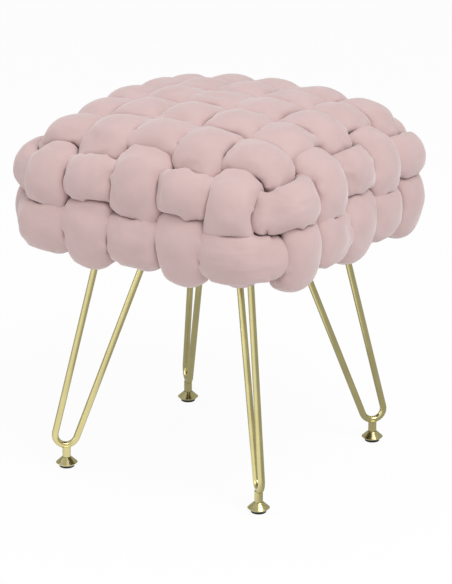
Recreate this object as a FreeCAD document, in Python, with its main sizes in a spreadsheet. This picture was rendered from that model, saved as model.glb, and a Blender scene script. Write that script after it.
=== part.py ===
import FreeCAD, Part
import math
import os
import re
import Sketcher
from FreeCAD import Placement, Rotation, Vector

# Footstool: a seat woven from padded velvet tubes over a foam core, on four hairpin legs.
# Millimetres, +Z up, origin on the floor under the middle of the seat. Warp tubes run along Y, weft
# tubes along X, and two ring tubes go round the sides. Each leg stands on one of the seat's diagonals.

SIZES = [
    # Legs, feet and the plates that carry the seat
    ("feet_inset", 8.0, "foot axes from the base board's edges"),
    ("leg_height", 284.0, "floor to the underside of the leg plates"),
    ("rod_diameter", 8.0, "hairpin rod"),
    ("bend_radius", 13.5, "axis of the bend at the foot"),
    ("outer_rod_inset", 49.0, "foot axis to the outer rod's top, along the diagonal"),
    ("inner_rod_inset", 113.0, "foot axis to the inner rod's top, along the diagonal"),
    ("sleeve_diameter", 10.0, "threaded sleeve under the bend"),
    ("sleeve_length", 10.6, "sleeve's lower end to the rod's underside"),
    ("saddle_depth", 2.5, "how far the sleeve comes up round the rod"),
    ("weld_gap", 0.1, "sleeve to rod"),
    ("foot_gap", 0.3, "free gap above a foot piece that moves"),
    ("stud_diameter", 6.0, "thread of the levelling foot, drawn plain"),
    ("stud_reach", 9.4, "length of stud inside the sleeve"),
    ("stud_end_room", 0.5, "free bore above the stud"),
    ("stud_chamfer", 0.8, "at the stud's upper end"),
    ("thread_clearance", 0.05, "round a stud, spigot or screw"),
    ("disc_diameter", 26.0, "rim of the foot disc"),
    ("disc_base_diameter", 20.0, "underside of the foot disc"),
    ("disc_neck_diameter", 11.0, "upper end of the foot disc's cone"),
    ("disc_height", 9.7, "foot disc, underside to neck"),
    ("disc_rim_height", 2.7, "foot disc, underside to rim"),
    ("pad_diameter", 18.0, "pad under the foot disc"),
    ("pad_thick", 3.0, "pad below the foot disc"),
    ("pad_chamfer", 0.6, "at the pad's lower edge"),
    ("spigot_diameter", 12.0, "pad's spigot inside the foot disc"),
    ("spigot_height", 2.5, "pad's spigot"),
    ("plate_length", 88.0, "leg plate, along the diagonal"),
    ("plate_width", 40.0, "leg plate, across the diagonal"),
    ("plate_thick", 3.0, "leg plate"),
    ("plate_corner", 6.0, "leg plate's corner radius"),
    ("screw_spacing_long", 72.0, "screws of one plate, along the diagonal"),
    ("screw_spacing_wide", 26.0, "screws of one plate, across the diagonal"),
    ("screw_diameter", 6.0, "leg screw"),
    ("screw_length", 13.0, "leg screw below its head"),
    ("screw_head_diameter", 10.5, "leg screw's head"),
    ("screw_head_height", 3.3, "leg screw's head"),
    ("screw_head_bevel", 1.0, "leg screw's head"),
    ("socket_width", 4.0, "hexagon socket in the screw's head, across its corners"),
    ("socket_depth", 2.0, "hexagon socket in the screw's head"),
    ("screw_hole_room", 0.3, "round a leg screw in plate and cover"),
    # Base board, dust cover and their fixings
    ("board_width", 286.0, "base board's side"),
    ("board_thick", 12.0, "base board"),
    ("board_corner", 25.0, "base board's corner radius"),
    ("tee_barrel_diameter", 7.8, "tee nut's barrel"),
    ("tee_barrel_length", 9.0, "tee nut's barrel below its flange"),
    ("tee_flange_diameter", 17.0, "tee nut's flange"),
    ("tee_flange_thick", 1.2, "tee nut's flange"),
    ("tee_clearance", 0.1, "round a tee nut in the board"),
    ("cover_overhang", 4.0, "dust cover past the base board's edge"),
    ("cover_thick", 1.0, "dust cover"),
    ("cover_corner", 30.0, "dust cover's corner radius"),
    ("cover_rim", 18.0, "dust cover's stepped rim in from the board's edge, under the tube ends"),
    ("staple_width", 10.0, "staple's crown"),
    ("staple_wire", 0.8, "staple's wire"),
    ("staple_leg", 8.0, "staple, from under the crown to its points"),
    ("staple_inset", 5.5, "staples in from the board's edge"),
    # Foam core and woven tubes
    ("foam_width", 306.0, "foam core's side"),
    ("foam_thick", 105.0, "foam core at its middle"),
    ("crown_radius", 760.0, "foam core's crowned top"),
    ("foam_edge_radius", 35.0, "foam core's rounded edges"),
    ("inner_pitch", 62.0, "middle tube to its neighbours"),
    ("outer_pitch", 60.0, "outermost tubes to their neighbours"),
    ("weave_gap", 0.5, "between tubes where they cross"),
    ("over_width", 56.0, "tube where it crosses over another"),
    ("over_thick", 26.0, "tube where it crosses over another"),
    ("under_width", 36.0, "tube where it passes under another"),
    ("under_thick", 18.0, "tube where it passes under another"),
    ("neck_width", 46.0, "tube half-way between two crossings"),
    ("edge_neck_width", 40.0, "the same on the four tubes next to the corners"),
    ("ring_neck_width", 34.0, "the same on the two ring tubes"),
    ("ring_corner_room", 23.0, "a ring tube's straight side ends this far in from the foam's side"),
    ("ring_end_run", 4.0, "length at a ring tube's end before it starts to swell"),
    ("level_share", 0.115, "share of the way between two crossings that a tube runs level at each end"),
    ("shoulder_share", 0.88, "how full a bulge still is at its shoulders, from neck to crossing"),
    ("shoulder_run", 0.28, "a bulge's shoulder, as a share of the way to the next crossing"),
    ("neck_thick", 11.5, "tube half-way between two crossings"),
    ("edge_over_width", 53.0, "outermost warp and weft tubes, crossing over"),
    ("edge_under_width", 28.0, "outermost warp and weft tubes, passing under"),
    ("ring_over_width", 48.0, "ring tube, crossing over"),
    ("ring_under_width", 28.0, "ring tube, passing under"),
    ("upper_ring_angle", 22.0, "upper ring on the rounded edge, degrees above level"),
    ("lower_ring_rise", 18.0, "lower ring above the base board"),
    ("tail_radius", 24.0, "tube's turn under the base board"),
    ("tab_width", 22.0, "flattened tube end where it leaves the turn"),
    ("tab_end_width", 10.0, "flattened tube end at its tip"),
    ("tab_thick", 2.6, "flattened tube end"),
    ("tab_length", 15.0, "flattened tube end, past the turn"),
    ("tab_gap", 0.6, "flattened tube end to board"),
]
TUBES_EACH_WAY = 5
# Corner name, sign along X, sign along Y and turn of the leg about Z in degrees
CORNERS = [
    ("back_right", 1, 1, 45.0),
    ("back_left", -1, 1, 135.0),
    ("front_left", -1, -1, 225.0),
    ("front_right", 1, -1, 315.0),
]

doc = FreeCAD.newDocument("Footstool")
sheet = doc.addObject("Spreadsheet::Sheet", "Sizes")
for row, (alias, number, meaning) in enumerate(SIZES, start=1):
    sheet.set("A%d" % row, alias)
    sheet.set("B%d" % row, str(number))
    sheet.set("C%d" % row, meaning)
    sheet.setAlias("B%d" % row, alias)
doc.recompute()

ALIASES = {alias for alias, number, meaning in SIZES}
NODES = []


def size(alias):
    """One driving dimension, read from the sheet."""
    return float(sheet.get(alias))


def on_sheet(text):
    """An expression in which every size is named through the sheet."""
    def named(word):
        return "Sizes." + word.group() if word.group() in ALIASES else word.group()
    return re.sub(r"[a-z_]+", named, text)


def bind(thing, path, text):
    thing.setExpression(path, on_sheet(text))


def node(thing, label):
    """Take an object of the document as a sub-part under its own name."""
    thing.Label = label
    NODES.append(thing)
    return thing


# Heights that several pieces share, as expressions on the sheet
SLEEVE_LOW = "(pad_thick + disc_height + foot_gap)"
ROD_LOW_AXIS = "(%s + sleeve_length + rod_diameter / 2)" % SLEEVE_LOW
RECESS_TOP = "(pad_thick + spigot_height + foot_gap)"
PANEL_LOW = "(leg_height + plate_thick)"
BOARD_LOW = "(leg_height + plate_thick + cover_thick)"
BOARD_TOP = "(leg_height + plate_thick + cover_thick + board_thick)"
TAB_LOW = "(%s - tab_gap - tab_thick)" % BOARD_LOW
RIM_TOP = "(%s - staple_wire)" % TAB_LOW
PLATE_INSET = "((outer_rod_inset + inner_rod_inset) / 2)"
FEET_SPACING = "(board_width - 2 * feet_inset)"
PLATE_REACH = "(%s / sqrt(2) - %s)" % (FEET_SPACING, PLATE_INSET)
COVER_WIDTH = "(board_width + 2 * cover_overhang)"
COVER_PANEL_WIDTH = "(board_width - 2 * cover_rim)"


def new_body(name):
    return doc.addObject("PartDesign::Body", name)


def new_sketch(body, name, role, height=None, turn=0.0):
    """A sketch on one of the body's origin planes, raised to a height and turned about its normal."""
    sketch = body.newObject("Sketcher::SketchObject", name)
    plane = [item for item in body.Origin.OriginFeatures if item.Role == role][0]
    sketch.AttachmentSupport = (plane, [""])
    sketch.MapMode = "FlatFace"
    sketch.AttachmentOffset = Placement(Vector(0, 0, 0), Rotation(Vector(0, 0, 1), turn))
    if height:
        bind(sketch, "AttachmentOffset.Base.z", height)
    return sketch


def hold(sketch, kind, text, *places):
    """Add one dimension to a sketch, at the value that it has now, and bind it to the sheet."""
    value = float(sheet.evalExpression(on_sheet(text)))
    index = sketch.addConstraint(Sketcher.Constraint(kind, *places, value))
    bind(sketch, "Constraints[%d]" % index, text)


def hold_point(sketch, geometry, position, across, up):
    """Put one point of a sketch at a bound place; a zero keeps it on the axis."""
    for kind, text, axis in (("DistanceX", across, -2), ("DistanceY", up, -1)):
        if text == "0":
            sketch.addConstraint(Sketcher.Constraint("PointOnObject", geometry, position, axis))
        else:
            hold(sketch, kind, text, -1, 1, geometry, position)


def polygon(sketch, corners):
    """A closed outline of straight edges through bound corners."""
    count = len(corners)
    first = sketch.GeometryCount
    spread = [2 * math.pi * k / count for k in range(count)]
    dots = [Vector(math.cos(angle), math.sin(angle), 0) for angle in spread]
    for k in range(count):
        sketch.addGeometry(Part.LineSegment(dots[k], dots[(k + 1) % count]))
    for k in range(count):
        following = first + (k + 1) % count
        sketch.addConstraint(Sketcher.Constraint("Coincident", first + k, 2, following, 1))
    for k, (across, up) in enumerate(corners):
        hold_point(sketch, first + k, 1, across, up)


def square(sketch, width):
    """A square outline about the sketch's origin."""
    half = "%s / 2" % width
    polygon(sketch, [("-" + half, "-" + half), (half, "-" + half), (half, half), ("-" + half, half)])


def circle(sketch, across, up, diameter):
    index = sketch.addGeometry(Part.Circle(Vector(1, 1, 0), Vector(0, 0, 1), 1.0))
    hold_point(sketch, index, 3, across, up)
    hold(sketch, "Diameter", diameter, index)


def pad(body, name, sketch, length, **settings):
    feature = body.newObject("PartDesign::Pad", name)
    feature.Profile = sketch
    bind(feature, "Length", length)
    for key, setting in settings.items():
        setattr(feature, key, setting)
    doc.recompute()
    return feature


def pocket(body, name, sketch, length, upwards=True):
    """Cut a sketch into the body, and make sure that it removed something."""
    before = body.Shape.Volume
    feature = body.newObject("PartDesign::Pocket", name)
    feature.Profile = sketch
    feature.Reversed = upwards
    bind(feature, "Length", length)
    doc.recompute()
    if body.Shape.Volume >= before:
        raise RuntimeError("%s cuts nothing" % name)
    return feature


def round_upright_edges(body, name, radius):
    """Round every upright edge of the body's outline."""
    base = body.Tip
    names = []
    for number, edge in enumerate(base.Shape.Edges, start=1):
        run = edge.Vertexes[-1].Point - edge.Vertexes[0].Point
        if run.Length > 0 and abs(run.z) > 0.999 * run.Length:
            names.append("Edge%d" % number)
    feature = body.newObject("PartDesign::Fillet", name)
    feature.Base = (base, names)
    bind(feature, "Radius", radius)
    doc.recompute()
    return feature


def revolve(body, name, outline):
    """Turn an outline of (radius, height) corners about the upright axis."""
    sketch = new_sketch(body, name + "_outline", "XZ_Plane")
    polygon(sketch, outline)
    feature = body.newObject("PartDesign::Revolution", name)
    feature.Profile = sketch
    feature.ReferenceAxis = (sketch, ["V_Axis"])
    feature.Angle = 360.0
    doc.recompute()
    return feature


def four_fold(body, name, feature):
    """Repeat a cut for the four legs."""
    pattern = body.newObject("PartDesign::PolarPattern", name)
    pattern.Originals = [feature]
    axis = [item for item in body.Origin.OriginFeatures if item.Role == "Z_Axis"][0]
    pattern.Axis = (axis, [""])
    pattern.Angle = 360.0
    pattern.Occurrences = len(CORNERS)
    body.Tip = pattern
    doc.recompute()


def stand_on_corner(thing, sign_x, sign_y, turn):
    """Move a piece from its leg's own frame, foot axis at the origin, to one corner of the stool."""
    thing.Placement = Placement(Vector(0, 0, 0), Rotation(Vector(0, 0, 1), turn))
    bind(thing, "Placement.Base.x", "%d * %s / 2" % (sign_x, FEET_SPACING))
    bind(thing, "Placement.Base.y", "%d * %s / 2" % (sign_y, FEET_SPACING))


def screw_places(middle):
    """The four screws of one plate, in the leg's own directions, about the plate's middle."""
    places = []
    for along in (-1, 1):
        for across in (-1, 1):
            text = "%s + %d * screw_spacing_long / 2" % (middle, along)
            places.append((text, "%d * screw_spacing_wide / 2" % across))
    return places


def leg_rod(label, *corner):
    """One bent rod: from the lowest point of the bend, a pipe up to each side of the plate."""
    body = new_body(label)
    bend = size("bend_radius")
    sleeve_low = size("pad_thick") + size("disc_height") + size("foot_gap")
    low_axis = sleeve_low + size("sleeve_length") + size("rod_diameter") / 2
    for side, inset in (("outer", "outer_rod_inset"), ("inner", "inner_rod_inset")):
        section = new_sketch(body, side + "_section", "YZ_Plane")
        circle(section, "0", ROD_LOW_AXIS, "rod_diameter")
        path = new_sketch(body, side + "_path", "XZ_Plane")
        # First places, worked out from the sizes so that the dimensions below keep this side of the bend
        middle = Vector(0, low_axis + bend, 0)
        top = Vector(-size(inset), size("leg_height") + size("rod_diameter"), 0)
        toward = math.atan2(top.y - middle.y, top.x - middle.x)
        swing = math.acos(bend / (top - middle).Length)
        touch = toward - swing if side == "outer" else toward + swing
        tangent = middle + Vector(math.cos(touch), math.sin(touch), 0) * bend
        turn = (-math.pi / 2, touch) if side == "outer" else (touch, 1.5 * math.pi)
        arc = path.addGeometry(Part.ArcOfCircle(Part.Circle(middle, Vector(0, 0, 1), bend), *turn))
        line = path.addGeometry(Part.LineSegment(tangent, top))
        start, end = (1, 2) if side == "outer" else (2, 1)
        path.addConstraint(Sketcher.Constraint("Tangent", arc, end, line, 1))
        hold_point(path, arc, start, "0", ROD_LOW_AXIS)
        path.addConstraint(Sketcher.Constraint("PointOnObject", arc, 3, -2))
        hold(path, "Radius", "bend_radius", arc)
        # The rod runs past the plate along its own slope and is then cut level under it
        hold_point(path, line, 2, "-" + inset, "leg_height + rod_diameter")
        doc.recompute()
        pipe = body.newObject("PartDesign::AdditivePipe", side + "_rod")
        pipe.Profile = section
        pipe.Spine = (path, ["Edge1", "Edge2"])
        doc.recompute()
    trim = new_sketch(body, "level_cut", "XY_Plane", height="leg_height")
    reach = "(inner_rod_inset + 2 * rod_diameter)"
    polygon(trim, [("-" + reach, "-rod_diameter"), ("rod_diameter", "-rod_diameter"),
                   ("rod_diameter", "rod_diameter"), ("-" + reach, "rod_diameter")])
    pocket(body, "level_top", trim, "3 * rod_diameter")
    stand_on_corner(body, *corner)
    node(body, label)


def leg_plate(label, *corner):
    body = new_body(label)
    outline = new_sketch(body, "outline", "XY_Plane", height="leg_height")
    inner, outer = "-%s - plate_length / 2" % PLATE_INSET, "-%s + plate_length / 2" % PLATE_INSET
    polygon(outline, [(inner, "-plate_width / 2"), (outer, "-plate_width / 2"),
                      (outer, "plate_width / 2"), (inner, "plate_width / 2")])
    pad(body, "plate", outline, "plate_thick")
    round_upright_edges(body, "corners", "plate_corner")
    holes = new_sketch(body, "holes", "XY_Plane", height="leg_height")
    for across, up in screw_places("-" + PLATE_INSET):
        circle(holes, across, up, "screw_diameter + 2 * screw_hole_room")
    pocket(body, "screw_holes", holes, "plate_thick")
    stand_on_corner(body, *corner)
    node(body, label)


def foot_sleeve(label, *corner):
    """Threaded sleeve, hollowed to the rod at its upper end and bored for the stud below."""
    tube = doc.addObject("Part::Cylinder", label + "_tube")
    bind(tube, "Radius", "sleeve_diameter / 2")
    bind(tube, "Height", "sleeve_length + saddle_depth")
    bind(tube, "Placement.Base.z", SLEEVE_LOW)
    bore = doc.addObject("Part::Cylinder", label + "_bore")
    bind(bore, "Radius", "stud_diameter / 2 + thread_clearance")
    bind(bore, "Height", "stud_reach + stud_end_room")
    bind(bore, "Placement.Base.z", SLEEVE_LOW)
    bend = doc.addObject("Part::Torus", label + "_bend")
    bend.Placement = Placement(Vector(0, 0, 0), Rotation(Vector(1, 0, 0), 90))
    bind(bend, "Radius1", "bend_radius")
    bind(bend, "Radius2", "rod_diameter / 2 + weld_gap")
    bind(bend, "Placement.Base.z", ROD_LOW_AXIS + " + bend_radius")
    bored = doc.addObject("Part::Cut", label + "_bored")
    bored.Base, bored.Tool = tube, bore
    saddled = doc.addObject("Part::Cut", label)
    saddled.Base, saddled.Tool = bored, bend
    stand_on_corner(saddled, *corner)
    node(saddled, label)


def foot_stud(label, *corner):
    body = new_body(label)
    radius, top = "stud_diameter / 2", "%s + stud_reach" % SLEEVE_LOW
    revolve(body, "stud", [("0", RECESS_TOP), (radius, RECESS_TOP), (radius, top + " - stud_chamfer"),
                           (radius + " - stud_chamfer", top), ("0", top)])
    stand_on_corner(body, *corner)
    node(body, label)


def foot_disc(label, *corner):
    """Disc with a conical top, a hole for the stud and a recess for the pad's spigot."""
    body = new_body(label)
    hole, recess = "stud_diameter / 2 + thread_clearance", "spigot_diameter / 2 + thread_clearance"
    rim, top = "pad_thick + disc_rim_height", "pad_thick + disc_height"
    revolve(body, "disc", [(recess, "pad_thick"), ("disc_base_diameter / 2", "pad_thick"),
                           ("disc_diameter / 2", rim), ("disc_neck_diameter / 2", top), (hole, top),
                           (hole, RECESS_TOP), (recess, RECESS_TOP)])
    stand_on_corner(body, *corner)
    node(body, label)


def foot_pad(label, *corner):
    body = new_body(label)
    outer, inner, top = "pad_diameter / 2", "spigot_diameter / 2", "pad_thick + spigot_height"
    revolve(body, "pad", [("0", "0"), (outer + " - pad_chamfer", "0"), (outer, "pad_chamfer"),
                          (outer, "pad_thick"), (inner, "pad_thick"), (inner, top), ("0", top)])
    stand_on_corner(body, *corner)
    node(body, label)


def base_board():
    body = new_body("base_board")
    outline = new_sketch(body, "outline", "XY_Plane", height=BOARD_LOW)
    square(outline, "board_width")
    pad(body, "board", outline, "board_thick")
    round_upright_edges(body, "corners", "board_corner")
    barrels = new_sketch(body, "barrels", "XY_Plane", height=BOARD_LOW, turn=45.0)
    flanges = new_sketch(body, "flanges", "XY_Plane", height=BOARD_TOP, turn=45.0)
    for across, up in screw_places(PLATE_REACH):
        circle(barrels, across, up, "tee_barrel_diameter + 2 * tee_clearance")
        circle(flanges, across, up, "tee_flange_diameter + 2 * tee_clearance")
    four_fold(body, "all_barrels", pocket(body, "barrel_holes", barrels, "board_thick"))
    seats = pocket(body, "flange_seats", flanges, "tee_flange_thick", upwards=False)
    four_fold(body, "all_flanges", seats)
    node(body, "base_board")


def dust_cover():
    """Thin cover: a flat middle against the board and a lower rim that passes under the tube ends."""
    body = new_body("dust_cover")
    rim_low = "(%s - cover_thick)" % RIM_TOP
    outline = new_sketch(body, "outline", "XY_Plane", height=rim_low)
    square(outline, COVER_WIDTH)
    pad(body, "rim", outline, "cover_thick")
    round_upright_edges(body, "corners", "cover_corner")
    step = new_sketch(body, "step_outline", "XY_Plane", height=rim_low)
    square(step, COVER_PANEL_WIDTH)
    pad(body, "step", step, "%s - %s" % (BOARD_LOW, rim_low))
    hollow = new_sketch(body, "hollow_outline", "XY_Plane", height=rim_low)
    square(hollow, "(%s - 2 * cover_thick)" % COVER_PANEL_WIDTH)
    pocket(body, "hollow", hollow, "%s - %s" % (PANEL_LOW, rim_low))
    holes = new_sketch(body, "holes", "XY_Plane", height=PANEL_LOW, turn=45.0)
    for across, up in screw_places(PLATE_REACH):
        circle(holes, across, up, "screw_diameter + 2 * screw_hole_room")
    four_fold(body, "all_holes", pocket(body, "screw_holes", holes, "cover_thick"))
    node(body, "dust_cover")


def foam_core():
    """Foam block with rounded edges and a crowned top."""
    body = new_body("foam_block")
    outline = new_sketch(body, "outline", "XY_Plane", height=BOARD_TOP)
    square(outline, "foam_width")
    pad(body, "block", outline, "foam_thick")
    round_upright_edges(body, "edges", "foam_edge_radius")
    crown = doc.addObject("Part::Sphere", "foam_crown")
    bind(crown, "Radius", "crown_radius")
    bind(crown, "Placement.Base.z", "%s + foam_thick - crown_radius" % BOARD_TOP)
    crowned = doc.addObject("Part::Common", "foam_crowned")
    crowned.Base, crowned.Tool = body, crown
    doc.recompute()
    rounded = doc.addObject("Part::Fillet", "foam_core")
    rounded.Base = crowned
    top_face = max(crowned.Shape.Faces, key=lambda face: face.CenterOfMass.z)
    rim = []
    for number, edge in enumerate(crowned.Shape.Edges, start=1):
        if any(edge.isSame(other) for other in top_face.Edges):
            rim.append((number, size("foam_edge_radius"), size("foam_edge_radius")))
    rounded.Edges = rim
    node(rounded, "foam_core")


def copies(label, pattern, places):
    """One node of equal separate solids."""
    doc.recompute()
    group = doc.addObject("Part::Feature", label)
    solids = []
    for place in places:
        solid = pattern.Shape.copy()
        solid.Placement = place.multiply(solid.Placement)
        solids.append(solid)
    group.Shape = Part.makeCompound(solids)
    node(group, label)


def plate_screw_frames():
    """Every screw's place: the four screws of a plate, turned to each of the four legs."""
    frames = []
    feet_spacing = size("board_width") - 2 * size("feet_inset")
    reach = feet_spacing / math.sqrt(2) - (size("outer_rod_inset") + size("inner_rod_inset")) / 2
    for name, sign_x, sign_y, turn in CORNERS:
        rotation = Rotation(Vector(0, 0, 1), turn)
        for along in (-0.5, 0.5):
            for across in (-0.5, 0.5):
                spot = Vector(reach + along * size("screw_spacing_long"), across * size("screw_spacing_wide"), 0)
                frames.append(Placement(rotation.multVec(spot), rotation))
    return frames


def leg_screws():
    """Pan head screws with a hexagon socket, up through plate and cover into the tee nuts."""
    body = new_body("leg_screw")
    shank, head = "screw_diameter / 2 - thread_clearance", "screw_head_diameter / 2"
    low, tip = "leg_height - screw_head_height", "leg_height + screw_length"
    revolve(body, "screw", [("0", low), (head + " - screw_head_bevel", low), (head, low + " + screw_head_bevel"),
                            (head, "leg_height"), (shank, "leg_height"), (shank, tip), ("0", tip)])
    socket = new_sketch(body, "socket_outline", "XY_Plane", height=low)
    turns = range(0, 360, 60)
    corners = [("socket_width / 2 * cos(%d deg)" % (turn + 15), "socket_width / 2 * sin(%d deg)" % (turn + 15))
               for turn in turns]
    polygon(socket, corners)
    pocket(body, "socket", socket, "socket_depth")
    copies("leg_screws", body, plate_screw_frames())


def tee_nuts():
    """Tee nuts pressed into the board from above, flange flush with its top."""
    body = new_body("tee_nut")
    bore, barrel, flange = "screw_diameter / 2", "tee_barrel_diameter / 2", "tee_flange_diameter / 2"
    under = BOARD_TOP + " - tee_flange_thick"
    revolve(body, "tee", [(bore, under + " - tee_barrel_length"), (barrel, under + " - tee_barrel_length"),
                          (barrel, under), (flange, under), (flange, BOARD_TOP), (bore, BOARD_TOP)])
    copies("tee_nuts", body, plate_screw_frames())


def staple(name, crown_top):
    """A staple with its crown below and its legs up, the crown's upper side at a given height."""
    body = new_body(name)
    outline = new_sketch(body, "outline", "XZ_Plane")
    outer, inner = "staple_width / 2", "(staple_width / 2 - staple_wire)"
    low, tip = crown_top + " - staple_wire", crown_top + " + staple_leg"
    polygon(outline, [("-" + outer, low), (outer, low), (outer, tip), (inner, tip), (inner, crown_top),
                      ("-" + inner, crown_top), ("-" + inner, tip), ("-" + outer, tip)])
    pad(body, "wire", outline, "staple_wire", Midplane=True)
    return body


def edge_frames(offsets, inset):
    """Places along the four sides, a distance in from the board's edge, crowns along the side."""
    line = size("board_width") / 2 - inset
    frames = []
    for turn in (0, 90, 180, 270):
        rotation = Rotation(Vector(0, 0, 1), turn)
        for offset in offsets:
            frames.append(Placement(rotation.multVec(Vector(offset, -line, 0)), rotation))
    return frames


def tube_lines():
    """Where the five tubes of one direction lie, from one side of the seat to the other."""
    inner = size("inner_pitch")
    outer = inner + size("outer_pitch")
    return [-outer, -inner, 0.0, inner, outer]


def staples():
    columns = tube_lines()
    between = [(one + two) / 2 for one, two in zip(columns, columns[1:])]
    inset = size("staple_inset")
    copies("tube_staples", staple("tube_staple", TAB_LOW), edge_frames(columns, inset))
    rim_low = "(%s - cover_thick)" % RIM_TOP
    copies("cover_staples", staple("cover_staple", rim_low), edge_frames(between, inset))


# The weave lies on a middle surface: a crowned top with rounded edges and upright sides. A tube that
# crosses over another lies outside that surface, one that passes under lies inside it.

HALF_SPAN = size("foam_width") / 2 - size("foam_edge_radius")
UNDER_DEPTH = size("under_thick") + size("weave_gap") / 2
MIDDLE_LIFT = UNDER_DEPTH + size("weave_gap")
EDGE_RADIUS = size("foam_edge_radius") + MIDDLE_LIFT
BOARD_UNDERSIDE = size("leg_height") + size("plate_thick") + size("cover_thick")
BOARD_UPPERSIDE = BOARD_UNDERSIDE + size("board_thick")
MIDDLE_TOP = BOARD_UPPERSIDE + size("foam_thick") + MIDDLE_LIFT
MIDDLE_CROWN = size("crown_radius") + MIDDLE_LIFT
TAB_MIDDLE = BOARD_UNDERSIDE - size("tab_gap") - size("tab_thick") / 2
LOWER_RING_HEIGHT = BOARD_UPPERSIDE + size("lower_ring_rise")
UPPER_RING_ANGLE = math.radians(size("upper_ring_angle"))
UP = Vector(0, 0, 1)


def crossing(over, family=""):
    """Half width, half thickness and distance from the middle surface where a tube crosses another."""
    if over:
        depth = (size("over_thick") + size("weave_gap")) / 2
        return size(family + "over_width") / 2, size("over_thick") / 2, depth
    depth = (size("under_thick") + size("weave_gap")) / 2
    return size(family + "under_width") / 2, size("under_thick") / 2, -depth


def edge_centre(lateral):
    """Height of the rounded edge's centre in an upright plane at a distance from the seat's middle."""
    top_radius = math.sqrt(MIDDLE_CROWN ** 2 - lateral ** 2)
    drop = math.sqrt((top_radius - EDGE_RADIUS) ** 2 - HALF_SPAN ** 2)
    return MIDDLE_TOP - MIDDLE_CROWN + drop


class TubeLine:
    """The middle surface's line in one upright plane, from the crown's middle down to a tube's end."""

    def __init__(self, lateral):
        self.top_radius = math.sqrt(MIDDLE_CROWN ** 2 - lateral ** 2)
        self.top_centre = MIDDLE_TOP - MIDDLE_CROWN
        self.edge_height = edge_centre(lateral)
        self.top_angle = math.asin(HALF_SPAN / (self.top_radius - EDGE_RADIUS))
        self.turn_height = TAB_MIDDLE + size("tail_radius")
        self.top_end = self.top_radius * self.top_angle
        self.edge_end = self.top_end + EDGE_RADIUS * (math.pi / 2 - self.top_angle)
        self.wall_end = self.edge_end + self.edge_height - self.turn_height
        self.turn_end = self.wall_end + size("tail_radius") * math.pi / 2

    def at(self, run):
        """Distance out, height, and the outward normal's two parts, after a run along the line."""
        side = -1 if run < 0 else 1
        run = abs(run)
        wall = HALF_SPAN + EDGE_RADIUS
        turn_centre = wall - size("tail_radius")
        if run < self.top_end:
            angle = math.pi / 2 - run / self.top_radius
            centre, height, radius = 0.0, self.top_centre, self.top_radius
        elif run < self.edge_end:
            angle = math.pi / 2 - self.top_angle - (run - self.top_end) / EDGE_RADIUS
            centre, height, radius = HALF_SPAN, self.edge_height, EDGE_RADIUS
        elif run < self.wall_end:
            return side * wall, self.edge_height - (run - self.edge_end), side, 0.0
        elif run < self.turn_end:
            angle = -(run - self.wall_end) / size("tail_radius")
            centre, height, radius = turn_centre, self.turn_height, size("tail_radius")
        else:
            return side * (turn_centre - (run - self.turn_end)), TAB_MIDDLE, 0.0, -1.0
        out, rise = math.cos(angle), math.sin(angle)
        return side * (centre + radius * out), height + radius * rise, side * out, rise

    def run_to(self, out):
        """Run to a tube on top that lies at a distance out from the seat's middle."""
        if out < self.top_radius * math.sin(self.top_angle):
            return self.top_radius * math.asin(out / self.top_radius)
        angle = math.acos((out - HALF_SPAN) / EDGE_RADIUS)
        return self.edge_end - EDGE_RADIUS * angle

    def crossings(self):
        """Runs to the tubes crossed on one half: from the middle tube to the lower ring."""
        runs = []
        for out in tube_lines()[TUBES_EACH_WAY // 2:]:
            runs.append(self.run_to(out))
        runs.append(self.edge_end - EDGE_RADIUS * UPPER_RING_ANGLE)
        runs.append(self.edge_end + self.edge_height - LOWER_RING_HEIGHT)
        return runs


def ease(start, end, share):
    """From start to end along half a cosine wave."""
    return start + (end - start) * (1 - math.cos(math.pi * share)) / 2


def oval(middle, across, out, half_width, half_thick):
    """A flat oval of four arcs, rounder at its two ends."""
    end_radius = 0.62 * half_thick
    reach = half_width - end_radius
    side_radius = (reach ** 2 + half_thick ** 2 - end_radius ** 2) / (2 * (half_thick - end_radius))
    drop = side_radius - half_thick
    scale = side_radius / math.hypot(reach, drop)
    joint_x, joint_z = reach * scale, drop * scale - drop

    def spot(x, z):
        return middle + across * x + out * z

    arcs = [
        Part.Arc(spot(-joint_x, joint_z), spot(0, half_thick), spot(joint_x, joint_z)),
        Part.Arc(spot(joint_x, joint_z), spot(half_width, 0), spot(joint_x, -joint_z)),
        Part.Arc(spot(joint_x, -joint_z), spot(0, -half_thick), spot(-joint_x, -joint_z)),
        Part.Arc(spot(-joint_x, -joint_z), spot(-half_width, 0), spot(-joint_x, joint_z)),
    ]
    return Part.Wire([arc.toShape() for arc in arcs])


def loft(label, stations, place):
    """One padded tube through ovals; place(run, offset) gives a point and its width direction."""
    step = 0.25
    sections = []
    for run, half_width, half_thick, offset_at in stations:
        middle, across = place(run, offset_at(run))
        ahead = place(run + step, offset_at(run + step))[0]
        behind = place(run - step, offset_at(run - step))[0]
        along = (ahead - behind).normalize()
        out = along.cross(across).normalize()
        across = out.cross(along).normalize()
        sections.append(oval(middle, across, out, half_width, half_thick))
    tube = doc.addObject("Part::Feature", label)
    tube.Shape = Part.makeLoft(sections, True, False)
    node(tube, label)


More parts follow.
